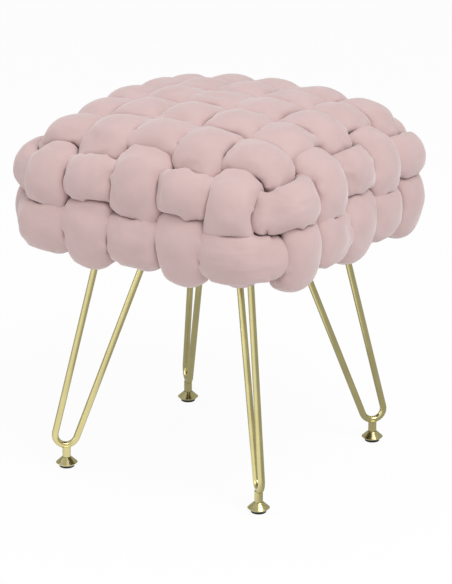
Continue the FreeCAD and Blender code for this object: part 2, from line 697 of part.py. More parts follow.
def weave_stations(marks, family=""):
    """Stations at crossings and half-way between, from (run, kind) marks in order."""
    neck_width = size(family + "neck_width") / 2
    neck_thick = size("neck_thick") / 2

    level = size("level_share")

    def offset_at(run):
        for (one, first), (two, second) in zip(marks, marks[1:]):
            if run <= two:
                share = ((run - one) / (two - one) - level) / (1 - 2 * level)
                return ease(first[2], second[2], min(1.0, max(0.0, share)))
        return marks[-1][1][2]

    def shoulder(run, kind):
        fullness = size("shoulder_share")
        half_width = neck_width + fullness * (kind[0] - neck_width)
        half_thick = neck_thick + fullness * (kind[1] - neck_thick)
        return run, half_width, half_thick, offset_at

    stations = []
    for (one, first), (two, second) in zip(marks, marks[1:]):
        stations.append((one, first[0], first[1], offset_at))
        stations.append(shoulder(one + size("shoulder_run") * (two - one), first))
        stations.append(((one + two) / 2, neck_width, neck_thick, offset_at))
        stations.append(shoulder(two - size("shoulder_run") * (two - one), second))
    run, last = marks[-1]
    stations.append((run, last[0], last[1], offset_at))
    return stations


def tail_stations(line, start, kind):
    """Stations from the lower ring down round the turn, where the tube is gathered to a flat tab."""
    tab = (size("tab_width") / 2, size("tab_thick") / 2)

    def offset_at(run):
        share = min(1.0, (abs(run) - start) / (line.turn_end - start))
        return ease(kind[2], 0.0, share)

    stations = []
    for share in (0.2, 0.4, 0.6, 0.8, 1.0):
        run = start + share * (line.turn_end - start)
        stations.append((run, ease(kind[0], tab[0], share), ease(kind[1], tab[1], share), offset_at))
    tip = size("tab_end_width") / 2
    for share in (0.5, 1.0):
        run = line.turn_end + share * size("tab_length")
        stations.append((run, tab[0] + share * (tip - tab[0]), tab[1], offset_at))
    return stations


def mirrored(stations):
    """The same stations on the other half of the seat, in running order."""
    return [(-run, width, thick, offset_at) for run, width, thick, offset_at in reversed(stations)]


def straight_tube(label, lateral, along, across, top_over, ring_over):
    """A warp or weft tube. top_over tells for each crossed tube whether this one lies over it."""
    line = TubeLine(lateral)
    runs = line.crossings()
    middle = TUBES_EACH_WAY // 2
    family = "edge_" if abs(lateral) == max(tube_lines()) else ""
    kinds = [crossing(over, family) for over in top_over[middle:] + [ring_over, not ring_over]]
    marks = list(zip(runs, kinds))
    both = [(-run, kind) for run, kind in reversed(marks[1:])] + marks
    tail = tail_stations(line, runs[-1], kinds[-1])
    # On the crown a tube leans with the slope there; down the side it stands upright
    crosswise = TubeLine(0.0)
    lean = math.copysign(crosswise.at(crosswise.run_to(abs(lateral)))[2], lateral)

    def place(run, offset):
        out, height, normal_out, normal_up = line.at(run)
        flat = along * (out + offset * normal_out) + across * lateral
        width_way = across - UP * (lean * max(0.0, normal_up))
        return flat + UP * (height + offset * normal_up), width_way

    loft(label, mirrored(tail) + weave_stations(both, family) + tail, place)


def warp_over(warp, weft):
    """Plain weave: neighbouring crossings alternate."""
    return (warp + weft) % 2 == 1


def ring_tube(label, angle, height_at, ring_over, start_column):
    """A ring tube, from one hidden crossing at the back round the seat to the same crossing."""
    half_side = size("foam_width") / 2 - size("ring_corner_room")
    radius = HALF_SPAN + EDGE_RADIUS * math.cos(angle) - half_side
    side = 2 * half_side
    leg = side + radius * math.pi / 2

    def run_past(count):
        """Run to one of the tubes counted round the seat, from the back's first tube."""
        turn, column = divmod(count, TUBES_EACH_WAY)
        return turn * leg + half_side + tube_lines()[column]

    start = run_past(start_column)

    def place(run, offset):
        run = (run + start) % (4 * leg)
        turn = int(run // leg)
        rest = run - turn * leg
        swing = max(0.0, (rest - side) / radius)
        along = min(rest, side) - half_side
        out = Vector(-math.sin(swing), math.cos(swing), 0)
        flat = Vector(-along, half_side, 0) + out * (radius + offset * math.cos(angle))
        quarter = Rotation(UP, 90.0 * turn)
        spot = quarter.multVec(flat) + UP * (height_at(along) + offset * math.sin(angle))
        tilted = quarter.multVec(out) * -math.sin(angle) + UP * math.cos(angle)
        return spot, tilted

    marks = []
    for lap in range(4 * TUBES_EACH_WAY + 1):
        count = lap + start_column
        run = run_past(count) - start
        marks.append((run, crossing(ring_over(count), "ring_")))
    stations = weave_stations(marks, "ring_")
    # The two ends butt under the tube that hides them, and run straight for a little way
    half_gap = size("weave_gap") / 2
    first, last = stations[0], stations[-1]
    ends = [(first[0] + step,) + first[1:] for step in (half_gap, size("ring_end_run"))]
    closing = [(last[0] - step,) + last[1:] for step in (size("ring_end_run"), half_gap)]
    loft(label, ends + stations[1:-1] + closing, place)


def woven_seat():
    columns = tube_lines()
    numbers = range(1, TUBES_EACH_WAY + 1)
    for number, lateral in zip(numbers, columns):
        over = [warp_over(number, other) for other in numbers]
        straight_tube("warp_tube_%d" % number, lateral, Vector(0, 1, 0), Vector(1, 0, 0), over,
                      ring_over=number % 2 == 1)
        over = [not warp_over(other, number) for other in numbers]
        straight_tube("weft_tube_%d" % number, lateral, Vector(1, 0, 0), Vector(0, 1, 0), over,
                      ring_over=number % 2 == 0)

    def shoulder(along):
        return edge_centre(along) + EDGE_RADIUS * math.sin(UPPER_RING_ANGLE)

    def level(along):
        return LOWER_RING_HEIGHT

    # Counted round the seat from the back's first tube, the upper ring lies under every even one
    ring_tube("upper_ring_tube", UPPER_RING_ANGLE, shoulder, lambda count: count % 2 == 1, 2)
    ring_tube("lower_ring_tube", 0.0, level, lambda count: count % 2 == 0, 1)


def legs():
    for name, sign_x, sign_y, turn in CORNERS:
        corner = (sign_x, sign_y, turn)
        leg_rod("leg_rod_" + name, *corner)
        leg_plate("leg_plate_" + name, *corner)
        foot_sleeve("foot_sleeve_" + name, *corner)
        foot_stud("foot_stud_" + name, *corner)
        foot_disc("foot_disc_" + name, *corner)
        foot_pad("foot_pad_" + name, *corner)


def write_parts():
    """Check every object, then write one file for each sub-part."""
    doc.recompute()
    for thing in doc.Objects:
        if "Invalid" in thing.State or "Error" in thing.State:
            raise RuntimeError("%s is in state %s" % (thing.Label, thing.State))
    for thing in NODES:
        if thing.Shape.isNull() or not thing.Shape.isValid():
            raise RuntimeError("%s has no valid shape" % thing.Label)
    os.makedirs("parts", exist_ok=True)
    for thing in NODES:
        thing.Shape.exportStep("parts/%s.step" % thing.Label)
    print("%d sub-parts written" % len(NODES))


base_board()
dust_cover()
foam_core()
leg_screws()
tee_nuts()
staples()
legs()
woven_seat()
write_parts()
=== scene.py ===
import math

import bpy
import numpy as np
from mathutils import Matrix, Vector, noise
from mathutils.bvhtree import BVHTree


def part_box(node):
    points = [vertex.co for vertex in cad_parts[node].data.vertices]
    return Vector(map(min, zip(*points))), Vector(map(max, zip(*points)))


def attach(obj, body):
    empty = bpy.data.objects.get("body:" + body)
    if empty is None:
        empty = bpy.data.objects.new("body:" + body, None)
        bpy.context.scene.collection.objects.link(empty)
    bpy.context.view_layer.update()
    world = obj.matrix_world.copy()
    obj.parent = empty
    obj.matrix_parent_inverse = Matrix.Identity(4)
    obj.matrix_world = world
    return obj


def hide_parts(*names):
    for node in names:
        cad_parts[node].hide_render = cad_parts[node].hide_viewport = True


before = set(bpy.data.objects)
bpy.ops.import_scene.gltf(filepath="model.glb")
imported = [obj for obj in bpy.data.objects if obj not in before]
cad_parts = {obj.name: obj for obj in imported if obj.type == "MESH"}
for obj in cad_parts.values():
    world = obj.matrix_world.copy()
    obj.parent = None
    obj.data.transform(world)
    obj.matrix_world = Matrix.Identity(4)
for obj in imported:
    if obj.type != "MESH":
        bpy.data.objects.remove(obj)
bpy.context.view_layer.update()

bl_info = {
    "name": "Woven Footstool",
    "version": (1, 0, 0),
    "blender": (4, 5, 0),
    "location": "View3D > Sidebar > Footstool",
    "description": "Dresses a footstool with a seat of interwoven padded tubes on hairpin legs",
    "category": "Object",
}

CORNERS = ("back_right", "back_left", "front_left", "front_right")
STRANDS = [way + "_tube_%d" % number for way in ("warp", "weft") for number in range(1, 6)]
STRANDS += ["upper_ring_tube", "lower_ring_tube"]
LEG_PIECES = ("leg_rod_", "leg_plate_", "foot_sleeve_", "foot_disc_")
FIXINGS = ("leg_screws", "tee_nuts", "tube_staples", "cover_staples")

# The seat's middle surface, where one tube crosses another: a crowned top with rounded edges
FLAT_HALF_SPAN = 0.118
EDGE_RADIUS = 0.05375
MIDDLE_TOP = 0.42375
CROWN_RADIUS = 0.77875
FULL_CREST = 0.026

# The velvet's small folds: width and length, size of the patches that have them, and the rings' radius
FOLD_WIDTH = 0.0075
FOLD_LENGTH = 0.034
PATCH_SIZE = 0.03
RING_RADIUS = 0.2

# Thickness of the dust cloth's rim with room over it, and how far round it the tubes are kept up
RIM_ROOM = 0.0014
RIM_MARGIN = 0.002

# What metal shows of the studio: the way to its brightest part, that part's limits, and the least strength
BRIGHT_WAY = (-0.14, -0.97, 0.2)
BRIGHT_START = 0.4
BRIGHT_FULL = 0.98
LEAST_WHITE = 0.4
WHITE = (1.0, 1.0, 1.0, 1.0)
# Share of the floor's white that takes no shadow
FLOOR_GLOW = 0.94

# The photograph's camera, found from the feet and the leg rods
PHOTO_LONG_SIDE = 584
PHOTO_FOCAL = 2654.3
CAMERA_AZIMUTH = 31.94
CAMERA_ELEVATION = 17.89
CAMERA_DISTANCE = 3.1738
CAMERA_AIM_RIGHT = 0.00559
CAMERA_AIM_HEIGHT = 0.20619
SENSOR = 36.0


class StoolSeatSettings(bpy.types.PropertyGroup):
    velvet: bpy.props.StringProperty(
        name="Velvet", description="Colour of the tubes' velvet as an sRGB hex value", default="#CAB0AE")
    voxel: bpy.props.FloatProperty(
        name="Cloth grid", description="Grid size that the tubes are simulated on",
        default=0.005, unit="LENGTH")
    swell: bpy.props.FloatProperty(
        name="Swell", description="Most that a flank of a tube swells until it meets its neighbour",
        default=0.014, unit="LENGTH")
    crest_swell: bpy.props.FloatProperty(
        name="Crest swell", description="Most that the top of a bulge swells", default=0.0015, unit="LENGTH")
    closing: bpy.props.FloatProperty(
        name="Closing", description="Further swell where two tubes face each other across a slit",
        default=0.008, unit="LENGTH")
    gap: bpy.props.FloatProperty(
        name="Gap", description="Distance kept between two tubes", default=0.0008, unit="LENGTH")
    pressure: bpy.props.FloatProperty(
        name="Filling", description="Pressure of the filling in the cloth simulation", default=3.0, min=0.0)
    frames: bpy.props.IntProperty(
        name="Frames", description="Frames of cloth simulation", default=8, min=1)
    settle: bpy.props.FloatProperty(
        name="Settle", description="Most that the simulation moves a point", default=0.0025, unit="LENGTH")
    gather: bpy.props.FloatProperty(
        name="Gathers", description="Height of the small folds where a tube is pinched by its neighbours",
        default=0.0018, unit="LENGTH")


class StoolLegSettings(bpy.types.PropertyGroup):
    gold: bpy.props.StringProperty(
        name="Gold", description="Colour of the coated steel as an sRGB hex value", default="#E2D79C")
    zinc: bpy.props.StringProperty(
        name="Zinc", description="Colour of the plated fixings as an sRGB hex value", default="#B9B8B2")
    black: bpy.props.StringProperty(
        name="Black", description="Colour of the foot pads as an sRGB hex value", default="#1B1A19")


class StoolPanelSettings(bpy.types.PropertyGroup):
    plywood: bpy.props.StringProperty(
        name="Plywood", description="Colour of the panel as an sRGB hex value", default="#C9A878")
    dust_cloth: bpy.props.StringProperty(
        name="Dust cloth", description="Colour of the cloth underneath as an sRGB hex value",
        default="#161515")
    foam: bpy.props.StringProperty(
        name="Foam", description="Colour of the foam as an sRGB hex value", default="#DCC9B4")


class StoolStageSettings(bpy.types.PropertyGroup):
    floor_size: bpy.props.FloatProperty(
        name="Floor", description="Width of the floor", default=40.0, unit="LENGTH")
    ambient: bpy.props.FloatProperty(
        name="Ambient", description="Strength of the light from all round", default=0.55, min=0.0)
    key: bpy.props.FloatProperty(
        name="Key", description="Power of the main softbox", default=42.0, unit="POWER")
    fill: bpy.props.FloatProperty(
        name="Fill", description="Power of the second softbox", default=9.0, unit="POWER")
    top: bpy.props.FloatProperty(
        name="Top", description="Power of the softbox overhead", default=8.0, unit="POWER")


def linear(hex_value):
    """A colour written as sRGB hex, as linear red, green, blue and alpha."""
    parts = [int(hex_value[place:place + 2], 16) / 255 for place in (1, 3, 5)]
    return [c / 12.92 if c <= 0.04045 else ((c + 0.055) / 1.055) ** 2.4 for c in parts] + [1.0]


def add_node(tree, kind, links=(), values=(), **settings):
    """Adds a node: settings on it, values on its sockets, and links as (its socket, other node, socket)."""
    node = tree.nodes.new(kind)
    for name, value in settings.items():
        setattr(node, name, value)
    for socket, value in values:
        node.inputs[socket].default_value = value
    for socket, other, output in links:
        tree.links.new(other.outputs[output], node.inputs[socket])
    return node


def new_material(name):
    """A new material, its tree, its principled shader and a node for its coordinates."""
    material = bpy.data.materials.new(name)
    material.use_nodes = True
    tree = material.node_tree
    shader = tree.nodes["Principled BSDF"]
    place = add_node(tree, "ShaderNodeTexCoord")
    return material, tree, shader, place


def shade_between(tree, shader, factor, dark, light):
    """Mixes two hex colours by a node's first output and gives them to the shader."""
    mix = add_node(tree, "ShaderNodeMix", links=[(0, factor, 0)], data_type="RGBA")
    mix.inputs[6].default_value = linear(dark)
    mix.inputs[7].default_value = linear(light)
    tree.links.new(mix.outputs[2], shader.inputs["Base Color"])


def toned(hex_value, share):
    """A hex colour, with each channel brought down or up to a share of itself."""
    return "#" + "".join("%02X" % min(255, round(int(hex_value[p:p + 2], 16) * share)) for p in (1, 3, 5))


def velvet_material(colour):
    """Short-pile polyester velvet, knitted and brushed: no gloss, paler where the pile is seen edge on."""
    material, tree, shader, place = new_material("Brushed velvet")
    nap = add_node(tree, "ShaderNodeTexNoise", links=[("Vector", place, "Object")],
                   values=[("Scale", 1 / 0.035), ("Detail", 3.0), ("Roughness", 0.55)])
    spread = add_node(tree, "ShaderNodeMapRange", links=[("Value", nap, 0)],
                      values=[("From Min", 0.35), ("From Max", 0.65)])
    shade_between(tree, shader, spread, toned(colour, 0.985), toned(colour, 1.01))
    # Pile tufts are about 0.4 mm across; they are drawn at 1.2 mm so that they show
    pile = add_node(tree, "ShaderNodeTexNoise", links=[("Vector", place, "Object")],
                    values=[("Scale", 1 / 0.0012), ("Detail", 2.0)])
    fine = add_node(tree, "ShaderNodeBump", links=[("Height", pile, 0)],
                    values=[("Strength", 0.3), ("Distance", 0.0004)])
    tree.links.new(fine.outputs[0], shader.inputs["Normal"])
    shader.inputs["Roughness"].default_value = 0.9
    shader.inputs["Specular IOR Level"].default_value = 0.15
    shader.inputs["Sheen Weight"].default_value = 0.6
    shader.inputs["Sheen Roughness"].default_value = 0.45
    return material


def gold_material(colour):
    """Steel bar with a satin gold coat: a metal sheen with faint draw marks and small changes of gloss."""
    material, tree, shader, place = new_material("Satin gold-coated steel")
    cloud = add_node(tree, "ShaderNodeTexNoise", links=[("Vector", place, "Object")],
                     values=[("Scale", 1 / 0.02), ("Detail", 4.0)])
    shade_between(tree, shader, cloud, toned(colour, 0.93), toned(colour, 1.04))
    gloss = add_node(tree, "ShaderNodeMapRange", links=[("Value", cloud, 0)],
                     values=[("From Min", 0.3), ("From Max", 0.7), ("To Min", 0.17), ("To Max", 0.28)])
    tree.links.new(gloss.outputs[0], shader.inputs["Roughness"])
    # Draw marks are finer than 0.2 mm; they are drawn at 0.6 mm so that they show
    marks = add_node(tree, "ShaderNodeTexNoise", links=[("Vector", place, "Object")],
                     values=[("Scale", 1 / 0.0006), ("Detail", 2.0)])
    bump = add_node(tree, "ShaderNodeBump", links=[("Height", marks, 0)],
                    values=[("Strength", 0.08), ("Distance", 0.0001)])
    tree.links.new(bump.outputs[0], shader.inputs["Normal"])
    shader.inputs["Metallic"].default_value = 1.0
    return material


def zinc_material(colour):
    """Bright zinc plating on small steel fixings: pale, slightly mottled, half gloss."""
    material, tree, shader, place = new_material("Zinc-plated steel")
    mottle = add_node(tree, "ShaderNodeTexVoronoi", links=[("Vector", place, "Object")],
                      values=[("Scale", 1 / 0.003)])
    shade_between(tree, shader, mottle, toned(colour, 0.9), colour)
    gloss = add_node(tree, "ShaderNodeMapRange", links=[("Value", mottle, 0)],
                     values=[("To Min", 0.28), ("To Max", 0.42)])
    tree.links.new(gloss.outputs[0], shader.inputs["Roughness"])
    shader.inputs["Metallic"].default_value = 1.0
    return material


def pad_material(colour):
    """Moulded polypropylene with a spark-eroded grain: matt, with a little dust-grey wear."""
    material, tree, shader, place = new_material("Moulded polypropylene")
    wear = add_node(tree, "ShaderNodeTexNoise", links=[("Vector", place, "Object")],
                    values=[("Scale", 1 / 0.006), ("Detail", 4.0)])
    shade_between(tree, shader, wear, toned(colour, 0.8), toned(colour, 1.5))
    grain = add_node(tree, "ShaderNodeTexNoise", links=[("Vector", place, "Object")],
                     values=[("Scale", 1 / 0.0005)])
    bump = add_node(tree, "ShaderNodeBump", links=[("Height", grain, 0)],
                    values=[("Strength", 0.3), ("Distance", 0.0001)])
    tree.links.new(bump.outputs[0], shader.inputs["Normal"])
    shader.inputs["Roughness"].default_value = 0.55
    shader.inputs["IOR"].default_value = 1.49
    return material


def plywood_material(colour):
    """Birch plywood, sawn and unsanded: pale plies on the edge and a long grain on the faces."""
    material, tree, shader, place = new_material("Birch plywood")
    stretch = add_node(tree, "ShaderNodeMapping", links=[("Vector", place, "Object")],
                       values=[("Scale", (6.0, 160.0, 40.0))])
    grain = add_node(tree, "ShaderNodeTexNoise", links=[("Vector", stretch, 0)],
                     values=[("Scale", 1.0), ("Detail", 5.0)])
    shade_between(tree, shader, grain, toned(colour, 0.72), colour)
    # Plies 1.7 mm thick show as bands on the sawn edge
    plies = add_node(tree, "ShaderNodeTexWave", links=[("Vector", place, "Object")],
                     values=[("Scale", 0.314 / 0.0034), ("Distortion", 0.4)], bands_direction="Z")
    bump = add_node(tree, "ShaderNodeBump", links=[("Height", plies, 1)],
                    values=[("Strength", 0.3), ("Distance", 0.0003)])
    tree.links.new(bump.outputs[0], shader.inputs["Normal"])
    shader.inputs["Roughness"].default_value = 0.75
    return material


def dust_cloth_material(colour):
    """Spun-bonded polypropylene cloth: black, dull, with rows of small pressed points."""
    material, tree, shader, place = new_material("Spun-bonded cloth")
    fibre = add_node(tree, "ShaderNodeTexNoise", links=[("Vector", place, "Object")],
                     values=[("Scale", 1 / 0.004), ("Detail", 6.0)])
    shade_between(tree, shader, fibre, toned(colour, 0.7), toned(colour, 1.5))
    points = add_node(tree, "ShaderNodeTexVoronoi", links=[("Vector", place, "Object")],
                      values=[("Scale", 1 / 0.0022), ("Randomness", 0.2)])
    bump = add_node(tree, "ShaderNodeBump", links=[("Height", points, 0)],
                    values=[("Strength", 0.5), ("Distance", 0.0003)])
    tree.links.new(bump.outputs[0], shader.inputs["Normal"])
    shader.inputs["Roughness"].default_value = 0.9
    return material


def foam_material(colour):
    """Cut polyurethane foam: open cells about a millimetre across, dull, with painted shade in each cell's
    hollow.
    """
    material, tree, shader, place = new_material("Polyurethane foam")
    cells = add_node(tree, "ShaderNodeTexVoronoi", links=[("Vector", place, "Object")],
                     values=[("Scale", 1 / 0.0015)])
    # Painted shade: each cell is coloured darker towards its hollow centre, where the bump below sinks it
    shade_between(tree, shader, cells, toned(colour, 0.8), colour)
    bump = add_node(tree, "ShaderNodeBump", links=[("Height", cells, 0)],
                    values=[("Strength", 0.6), ("Distance", 0.0006)])
    tree.links.new(bump.outputs[0], shader.inputs["Normal"])
    shader.inputs["Roughness"].default_value = 0.95
    return material


def only(thing):
    """Selects one object and nothing else."""
    bpy.ops.object.select_all(action="DESELECT")
    thing.select_set(True)
    bpy.context.view_layer.objects.active = thing


def dress(thing, material):
    """Gives a piece or a node one material all over."""
    thing.data.materials.clear()
    thing.data.materials.append(material)


def apply_modifier(thing, name, kind, **settings):
    """Adds a modifier with its settings and applies it."""
    modifier = thing.modifiers.new(name, kind)
    for setting, value in settings.items():
        setattr(modifier, setting, value)
    only(thing)
    bpy.ops.object.modifier_apply(modifier=name)


def node_copy(node, name):
    """A new piece with its own merged copy of a node's mesh."""
    piece = bpy.data.objects.new(name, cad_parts[node].data.copy())
    bpy.context.scene.collection.objects.link(piece)
    only(piece)
    bpy.ops.object.mode_set(mode="EDIT")
    bpy.ops.mesh.select_all(action="SELECT")
    bpy.ops.mesh.remove_doubles(threshold=0.00002)
    bpy.ops.object.mode_set(mode="OBJECT")
    return piece


def coordinates(mesh):
    """All points of a mesh as rows."""
    flat = np.zeros(len(mesh.vertices) * 3, np.float32)
    mesh.vertices.foreach_get("co", flat)
    return flat.reshape(-1, 3).astype(float)


def set_coordinates(mesh, points):
    """Moves all points of a mesh to rows."""
    mesh.vertices.foreach_set("co", points.astype(np.float32).ravel())
    mesh.update()


def height_over_middle(points):
    """How far points lie outside the seat's middle surface."""
    flat = np.abs(points[:, :2])
    drop = (points[:, 0] ** 2 + points[:, 1] ** 2) / (2 * CROWN_RADIUS)
    beyond = np.maximum(flat - FLAT_HALF_SPAN, 0.0)
    above = np.maximum(points[:, 2] - (MIDDLE_TOP - EDGE_RADIUS - drop), 0.0)
    return np.sqrt((beyond ** 2).sum(axis=1) + above ** 2) - EDGE_RADIUS


def point_normals(points, faces):
    """Outward direction at each point of a mesh of four-sided faces."""
    first, second = points[faces[:, 2]] - points[faces[:, 0]], points[faces[:, 3]] - points[faces[:, 1]]
    across = np.cross(first, second)
    normals = np.zeros_like(points)
    for corner in range(4):
        np.add.at(normals, faces[:, corner], across)
    return normals / np.maximum(np.linalg.norm(normals, axis=1), 1e-12)[:, None]


def relaxed(points, faces, share):
    """Moves each point part of the way to the mean of its neighbours."""
    total = np.zeros_like(points)
    count = np.zeros(len(points))
    for one, two in ((0, 1), (1, 2), (2, 3), (3, 0)):
        np.add.at(total, faces[:, one], points[faces[:, two]])
        np.add.at(total, faces[:, two], points[faces[:, one]])
        np.add.at(count, faces[:, one], 1)
        np.add.at(count, faces[:, two], 1)
    return points + share * (total / count[:, None] - points)


def swelled(points, faces, settings, rounds, growth=1.0, step=0.0014):
    """Blows all tubes up together, each point along its normal until it meets what lies across from it."""
    # Where a point is between a crossing and the top of a bulge: the low flanks swell much, the crest little
    share = height_over_middle(points) / FULL_CREST
    flank = 1.0 - np.clip((share - 0.25) / 0.65, 0.0, 1.0)
    crest = np.clip((share - 0.45) / 0.5, 0.0, 1.0)
    limit = growth * (settings.swell * flank ** 1.1 + settings.crest_swell * crest ** 2)
    start = points.copy()
    reach = 6 * step
    for _ in range(rounds):
        tree = BVHTree.FromPolygons(points.tolist(), faces.tolist())
        normals = point_normals(points, faces)
        # Free way ahead of each point, up to the reach
        room = np.full(len(points), reach)
        for index, (point, normal) in enumerate(zip(points, normals)):
            hit = tree.ray_cast(Vector(point + normal * 1e-5), Vector(normal), reach)
            if hit[3] is not None:
                room[index] = hit[3]
        moved = np.linalg.norm(points - start, axis=1)
        facing = settings.closing * np.minimum(1.0, 1.5 * (1.0 - room / reach))
        go = np.minimum(step, 0.5 * (room - settings.gap))
        go = np.clip(np.minimum(go, limit + facing - moved), 0.0, step)
        points = relaxed(points + normals * go[:, None], faces, 0.12)
    return points


class STOOL_OT_stage(bpy.types.Operator):
    """Lays the pale floor, hangs the softboxes and sets up the photograph's camera"""
    bl_idname = "stool.stage"
    bl_label = "Stage"

    def execute(self, context):
        settings = context.scene.stool_stage
        self.floor(settings)
        self.lights(context.scene, settings)
        self.camera(context.scene)
        return {"FINISHED"}

    def floor(self, settings):
        """A wide pale floor that takes a faint shadow and otherwise shows as white as the background."""
        bpy.ops.object.select_all(action="DESELECT")
        bpy.ops.mesh.primitive_grid_add(x_subdivisions=4, y_subdivisions=4, size=settings.floor_size)
        floor = bpy.context.active_object
        floor.name = "floor"
        material = bpy.data.materials.new("White studio floor")
        material.use_nodes = True
        tree = material.node_tree
        tree.nodes.clear()
        paint = add_node(tree, "ShaderNodeBsdfDiffuse", values=[("Color", linear("#F4F4F4"))])
        strength = self.studio_white(tree, "Object", 1.0)
        glow = add_node(tree, "ShaderNodeEmission", links=[("Strength", strength, 0)],
                        values=[("Color", WHITE)])
        path = add_node(tree, "ShaderNodeLightPath")
        either = add_node(tree, "ShaderNodeMath", operation="MAXIMUM",
                          links=[(0, path, "Is Camera Ray"), (1, path, "Is Glossy Ray")])
        seen = add_node(tree, "ShaderNodeMath", operation="MAXIMUM",
                        links=[(0, either, 0), (1, path, "Is Transmission Ray")])
        share = add_node(tree, "ShaderNodeMath", links=[(0, seen, 0)], values=[(1, FLOOR_GLOW)],
                         operation="MULTIPLY")
        mix = add_node(tree, "ShaderNodeMixShader", links=[(0, share, 0), (1, paint, 0), (2, glow, 0)])
        add_node(tree, "ShaderNodeOutputMaterial", links=[("Surface", mix, 0)])
        dress(floor, material)

    def studio_white(self, tree, coordinate, unseen):
        """Strength of the white studio: full to the camera, and graded where metal shows it.

        The brightest part that metal shows lies in one direction, so that each rod has a pale band
        and darker edges.
        """
        path = add_node(tree, "ShaderNodeLightPath")
        place = add_node(tree, "ShaderNodeTexCoord")
        way = add_node(tree, "ShaderNodeVectorMath", links=[(0, place, coordinate)], operation="NORMALIZE")
        front = add_node(tree, "ShaderNodeVectorMath", links=[(0, way, 0)],
                         values=[(1, BRIGHT_WAY)], operation="DOT_PRODUCT")
        graded = add_node(tree, "ShaderNodeMapRange", links=[("Value", front, "Value")],
                          values=[("From Min", BRIGHT_START), ("From Max", BRIGHT_FULL),
                                  ("To Min", LEAST_WHITE)],
                          interpolation_type="SMOOTHSTEP")
        metal = add_node(tree, "ShaderNodeMix", links=[(0, path, "Is Glossy Ray"), (3, graded, 0)],
                         values=[(2, unseen)])
        clear = add_node(tree, "ShaderNodeMath", operation="MAXIMUM",
                         links=[(0, path, "Is Camera Ray"), (1, path, "Is Transmission Ray")])
        return add_node(tree, "ShaderNodeMix", links=[(0, clear, 0), (2, metal, 0)], values=[(3, 1.0)])

    def lights(self, scene, settings):
        """An even white surround and three softboxes, all aimed at the seat."""
        world = bpy.data.worlds.new("White studio")
        scene.world = world
        world.use_nodes = True
        tree = world.node_tree
        tree.nodes.clear()
        strength = self.studio_white(tree, "Generated", settings.ambient)
        sky = add_node(tree, "ShaderNodeBackground", links=[("Strength", strength, 0)],
                       values=[("Color", WHITE)])
        add_node(tree, "ShaderNodeOutputWorld", links=[("Surface", sky, 0)])
        boxes = (("key_softbox", settings.key, 1.6, (1.6, -0.8, 2.4)),
                 ("fill_softbox", settings.fill, 1.4, (-1.6, -1.5, 1.2)),
                 ("top_softbox", settings.top, 1.8, (-0.2, 0.3, 2.8)))
        for name, power, width, place in boxes:
            lamp = bpy.data.lights.new(name, "AREA")
            lamp.energy = power
            lamp.size = width
            softbox = bpy.data.objects.new(name, lamp)
            scene.collection.objects.link(softbox)
            softbox.location = place
            aim = Vector((0.0, 0.0, 0.3)) - softbox.location
            softbox.rotation_euler = aim.to_track_quat("-Z", "Y").to_euler()

    def camera(self, scene):
        """The photograph's camera."""
        azimuth, elevation = math.radians(CAMERA_AZIMUTH), math.radians(CAMERA_ELEVATION)
        back = Vector((math.sin(azimuth) * math.cos(elevation), -math.cos(azimuth) * math.cos(elevation),
                       math.sin(elevation)))
        right = Vector((math.cos(azimuth), math.sin(azimuth), 0.0))
        turn = Matrix((right, back.cross(right), back)).transposed().to_4x4()
        aim = right * CAMERA_AIM_RIGHT + Vector((0.0, 0.0, CAMERA_AIM_HEIGHT))
        camera = bpy.data.objects.new("photo_camera", bpy.data.cameras.new("photo_camera"))
        scene.collection.objects.link(camera)
        camera.matrix_world = Matrix.Translation(aim + back * CAMERA_DISTANCE) @ turn
        camera.data.sensor_width = SENSOR
        camera.data.lens = PHOTO_FOCAL * SENSOR / PHOTO_LONG_SIDE
        camera.data.clip_end = 100.0
        scene.camera = camera


class STOOL_OT_legs(bpy.types.Operator):
    """Finishes the hairpin legs, their plates, sleeves and foot discs in satin gold"""
    bl_idname = "stool.legs"
    bl_label = "Legs"

    def execute(self, context):
        gold = gold_material(context.scene.stool_legs.gold)
        for corner in CORNERS:
            for piece in LEG_PIECES:
                dress(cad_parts[piece + corner], gold)
        return {"FINISHED"}


class STOOL_OT_fixings(bpy.types.Operator):
    """Finishes the screws, tee nuts, staples and foot studs in zinc plating"""
    bl_idname = "stool.fixings"
    bl_label = "Fixings"

    def execute(self, context):
        zinc = zinc_material(context.scene.stool_legs.zinc)
        for node in FIXINGS:
            dress(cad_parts[node], zinc)
        for corner in CORNERS:
            dress(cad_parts["foot_stud_" + corner], zinc)
        return {"FINISHED"}


class STOOL_OT_foot_pads(bpy.types.Operator):
    """Finishes the four foot pads as moulded black plastic"""
    bl_idname = "stool.foot_pads"
    bl_label = "Foot pads"

    def execute(self, context):
        plastic = pad_material(context.scene.stool_legs.black)
        for corner in CORNERS:
            dress(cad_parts["foot_pad_" + corner], plastic)
        return {"FINISHED"}


class STOOL_OT_panel(bpy.types.Operator):
    """Finishes the plywood panel, and makes the dust cloth under it and the foam block on it"""
    bl_idname = "stool.panel"
    bl_label = "Panel"

    def execute(self, context):
        settings = context.scene.stool_panel
        dress(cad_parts["base_board"], plywood_material(settings.plywood))
        self.dust_cloth(dust_cloth_material(settings.dust_cloth))
        self.foam(foam_material(settings.foam))
        return {"FINISHED"}

    def dust_cloth(self, material):
        """The cover under the panel, stretched flat with a stepped rim over the tubes' ends."""
        cloth = node_copy("dust_cover", "dust_cloth")
        dress(cloth, material)
        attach(cloth, "stool")
        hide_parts("dust_cover")

    def foam(self, material):
        """The foam block, with its cut edges softened by the weave over it."""
        block = node_copy("foam_core", "foam_block")
        apply_modifier(block, "even", "REMESH", mode="VOXEL", voxel_size=0.006)
        apply_modifier(block, "soften", "SMOOTH", factor=0.5, iterations=6)
        only(block)
        bpy.ops.object.shade_smooth()
        dress(block, material)
        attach(block, "stool")
        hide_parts("foam_core")


